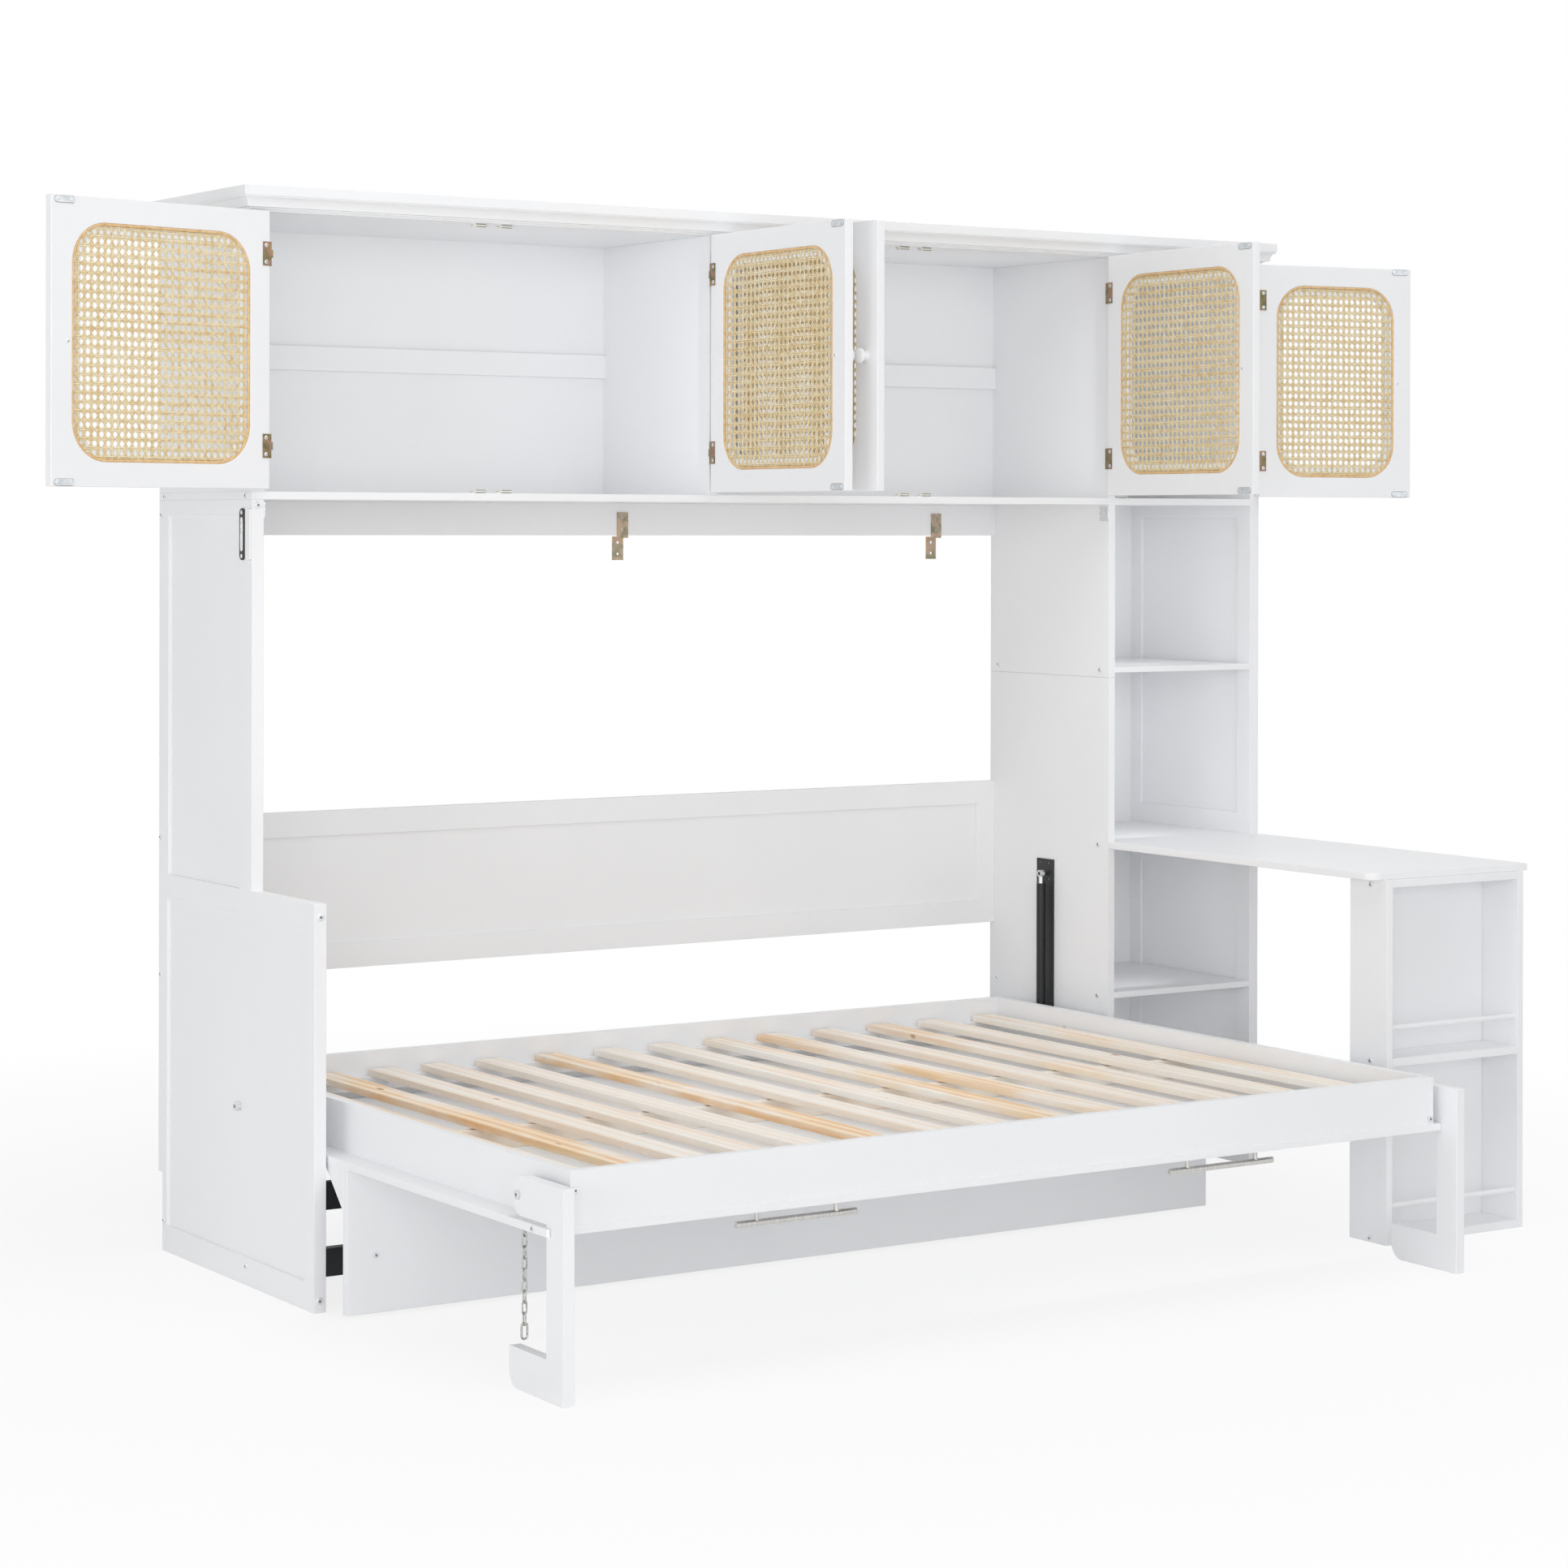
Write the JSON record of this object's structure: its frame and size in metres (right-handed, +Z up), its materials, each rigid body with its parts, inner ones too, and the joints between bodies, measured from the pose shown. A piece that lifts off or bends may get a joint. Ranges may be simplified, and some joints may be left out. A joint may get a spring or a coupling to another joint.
{
  "type": "wall bed with cupboards and desk",
  "caption": "Sideways fold-down wall bed in a panelled cabinet with cane-fronted cupboards above, a shelf tower, a side desk with an end bookcase and swing-down legs.",
  "frame": {"origin": "on the floor, under the middle of the bed bay's lower cross rail, 422 mm out from the wall plane", "axes": "+X to the right along the wall, +Y back to the wall, +Z up; the bed folds down towards -Y"},
  "size_m": [3.3684, 1.59, 2.111],
  "materials": {
    "white_paint": "satin white paint on board",
    "pine": "planed pine, unpainted",
    "cane": "woven rattan cane",
    "bright_steel": "zinc plated",
    "black_steel": "black powder coat",
    "zinc_steel": "yellow zinc plating"
  },
  "bodies": {
    "cabinet": {"left_side_frame": "white_paint", "infill_panels": "white_paint", "tower_inner_side": "white_paint", "tower_outer_side": "white_paint", "tower_shelves": "white_paint", "side_desk_top": "white_paint", "bookcase_case": "white_paint", "bookcase_shelves": "white_paint", "cabinet_floor": "white_paint", "cabinet_uprights": "white_paint", "cabinet_top": "white_paint", "back_boards": "white_paint", "hanging_rail": "white_paint", "crown_moulding": "white_paint", "top_back_rail": "white_paint", "rear_panel_frame": "white_paint", "wall_brackets": "zinc_steel", "cross_rails": "black_steel", "latch_keepers": "bright_steel", "joint_bolts": "bright_steel", "lock_plate": "black_steel", "spring_plates": "black_steel", "door_catches": "white_paint", "frame_hinge_leaves": "bright_steel", "pivot_bolts": "bright_steel"},
    "door_1": {"door_1_frame": "white_paint", "door_1_cane": "cane", "door_1_knob": "white_paint", "door_1_leaves": "bright_steel"},
    "door_2": {"door_2_frame": "white_paint", "door_2_cane": "cane", "door_2_knob": "white_paint", "door_2_leaves": "bright_steel"},
    "door_3": {"door_3_frame": "white_paint", "door_3_cane": "cane", "door_3_knob": "white_paint", "door_3_leaves": "bright_steel"},
    "door_4": {"door_4_frame": "white_paint", "door_4_cane": "cane", "door_4_knob": "white_paint", "door_4_leaves": "bright_steel"},
    "door_5": {"door_5_frame": "white_paint", "door_5_cane": "cane", "door_5_knob": "white_paint", "door_5_leaves": "bright_steel"},
    "bed": {"bed_rails": "white_paint", "bed_bottom": "white_paint", "bed_slats": "pine", "slat_bearers": "pine", "desk_board": "white_paint", "desk_gussets": "white_paint", "pull_handles": "bright_steel", "bed_fittings": "bright_steel"},
    "leg_left": {"leg_left": "white_paint"},
    "leg_right": {"leg_right": "white_paint"},
    "spring_rod_left": {"spring_rod_left": "bright_steel"},
    "spring_rod_right": {"spring_rod_right": "bright_steel"},
    "spring_tube_left": {"spring_tube_left": "black_steel"},
    "spring_tube_right": {"spring_tube_right": "black_steel"},
    "chain": {"chain": "bright_steel"}
  },
  "joints": [
    {"name": "door_1_swing", "type": "hinge", "parent": "cabinet", "child": "door_1", "pos_m": [-1.0243, -0.034, 1.797], "axis": [0, 0, -1], "range_deg": [-167.5, 6.5]},
    {"name": "door_2_swing", "type": "hinge", "parent": "cabinet", "child": "door_2", "pos_m": [-0.0203, -0.034, 1.797], "axis": [0, 0, 1], "range_deg": [-90, 0]},
    {"name": "door_3_swing", "type": "hinge", "parent": "cabinet", "child": "door_3", "pos_m": [-0.0013, -0.034, 1.797], "axis": [0, 0, -1], "range_deg": [-84, 0]},
    {"name": "door_4_swing", "type": "hinge", "parent": "cabinet", "child": "door_4", "pos_m": [1.0187, -0.034, 1.797], "axis": [0, 0, 1], "range_deg": [-89, 21]},
    {"name": "door_5_swing", "type": "hinge", "parent": "cabinet", "child": "door_5", "pos_m": [1.4427, -0.034, 1.797], "axis": [0, 0, 1], "range_deg": [-171, 3]},
    {"name": "bed_fold", "type": "hinge", "parent": "cabinet", "child": "bed", "pos_m": [-0.0027, 0.043, 0.339], "axis": [-1, 0, 0], "range_deg": [0, 90]},
    {"name": "leg_left_swing", "type": "hinge", "parent": "bed", "child": "leg_left", "pos_m": [-1.0063, -1.013, 0.33], "axis": [-1, 0, 0], "range_deg": [-68, 0]},
    {"name": "leg_right_swing", "type": "hinge", "parent": "bed", "child": "leg_right", "pos_m": [1.0012, -1.013, 0.33], "axis": [-1, 0, 0], "range_deg": [-68, 0]},
    {"name": "spring_left_tilt", "type": "hinge", "parent": "cabinet", "child": "spring_rod_left", "pos_m": [-1.0067, 0.198, 0.672], "axis": [-1, 0, 0], "range_deg": [0, 20]},
    {"name": "spring_left_stroke", "type": "slide", "parent": "spring_rod_left", "child": "spring_tube_left", "axis": [0, 0, -1], "range_m": [0, 0.168]},
    {"name": "spring_right_tilt", "type": "hinge", "parent": "cabinet", "child": "spring_rod_right", "pos_m": [1.0067, 0.198, 0.672], "axis": [-1, 0, 0], "range_deg": [0, 20]},
    {"name": "spring_right_stroke", "type": "slide", "parent": "spring_rod_right", "child": "spring_tube_right", "axis": [0, 0, -1], "range_m": [0, 0.168]},
    {"name": "chain_swing", "type": "hinge", "parent": "bed", "child": "chain", "pos_m": [-0.9843, -0.977, 0.268], "axis": [-1, 0, 0], "range_deg": [-91, 1]}
  ],
  "couplings": [
    {"joint": "leg_left_swing", "follows": "bed_fold", "ratio": -0.75},
    {"joint": "leg_right_swing", "follows": "bed_fold", "ratio": -0.75},
    {"joint": "chain_swing", "follows": "bed_fold", "ratio": -1},
    {"joint": "spring_left_tilt", "follows": "bed_fold", "ratio": 0.218},
    {"joint": "spring_left_stroke", "follows": "bed_fold", "m_per_rad": 0.10575},
    {"joint": "spring_right_tilt", "follows": "bed_fold", "ratio": 0.218},
    {"joint": "spring_right_stroke", "follows": "bed_fold", "m_per_rad": 0.10575}
  ]
}
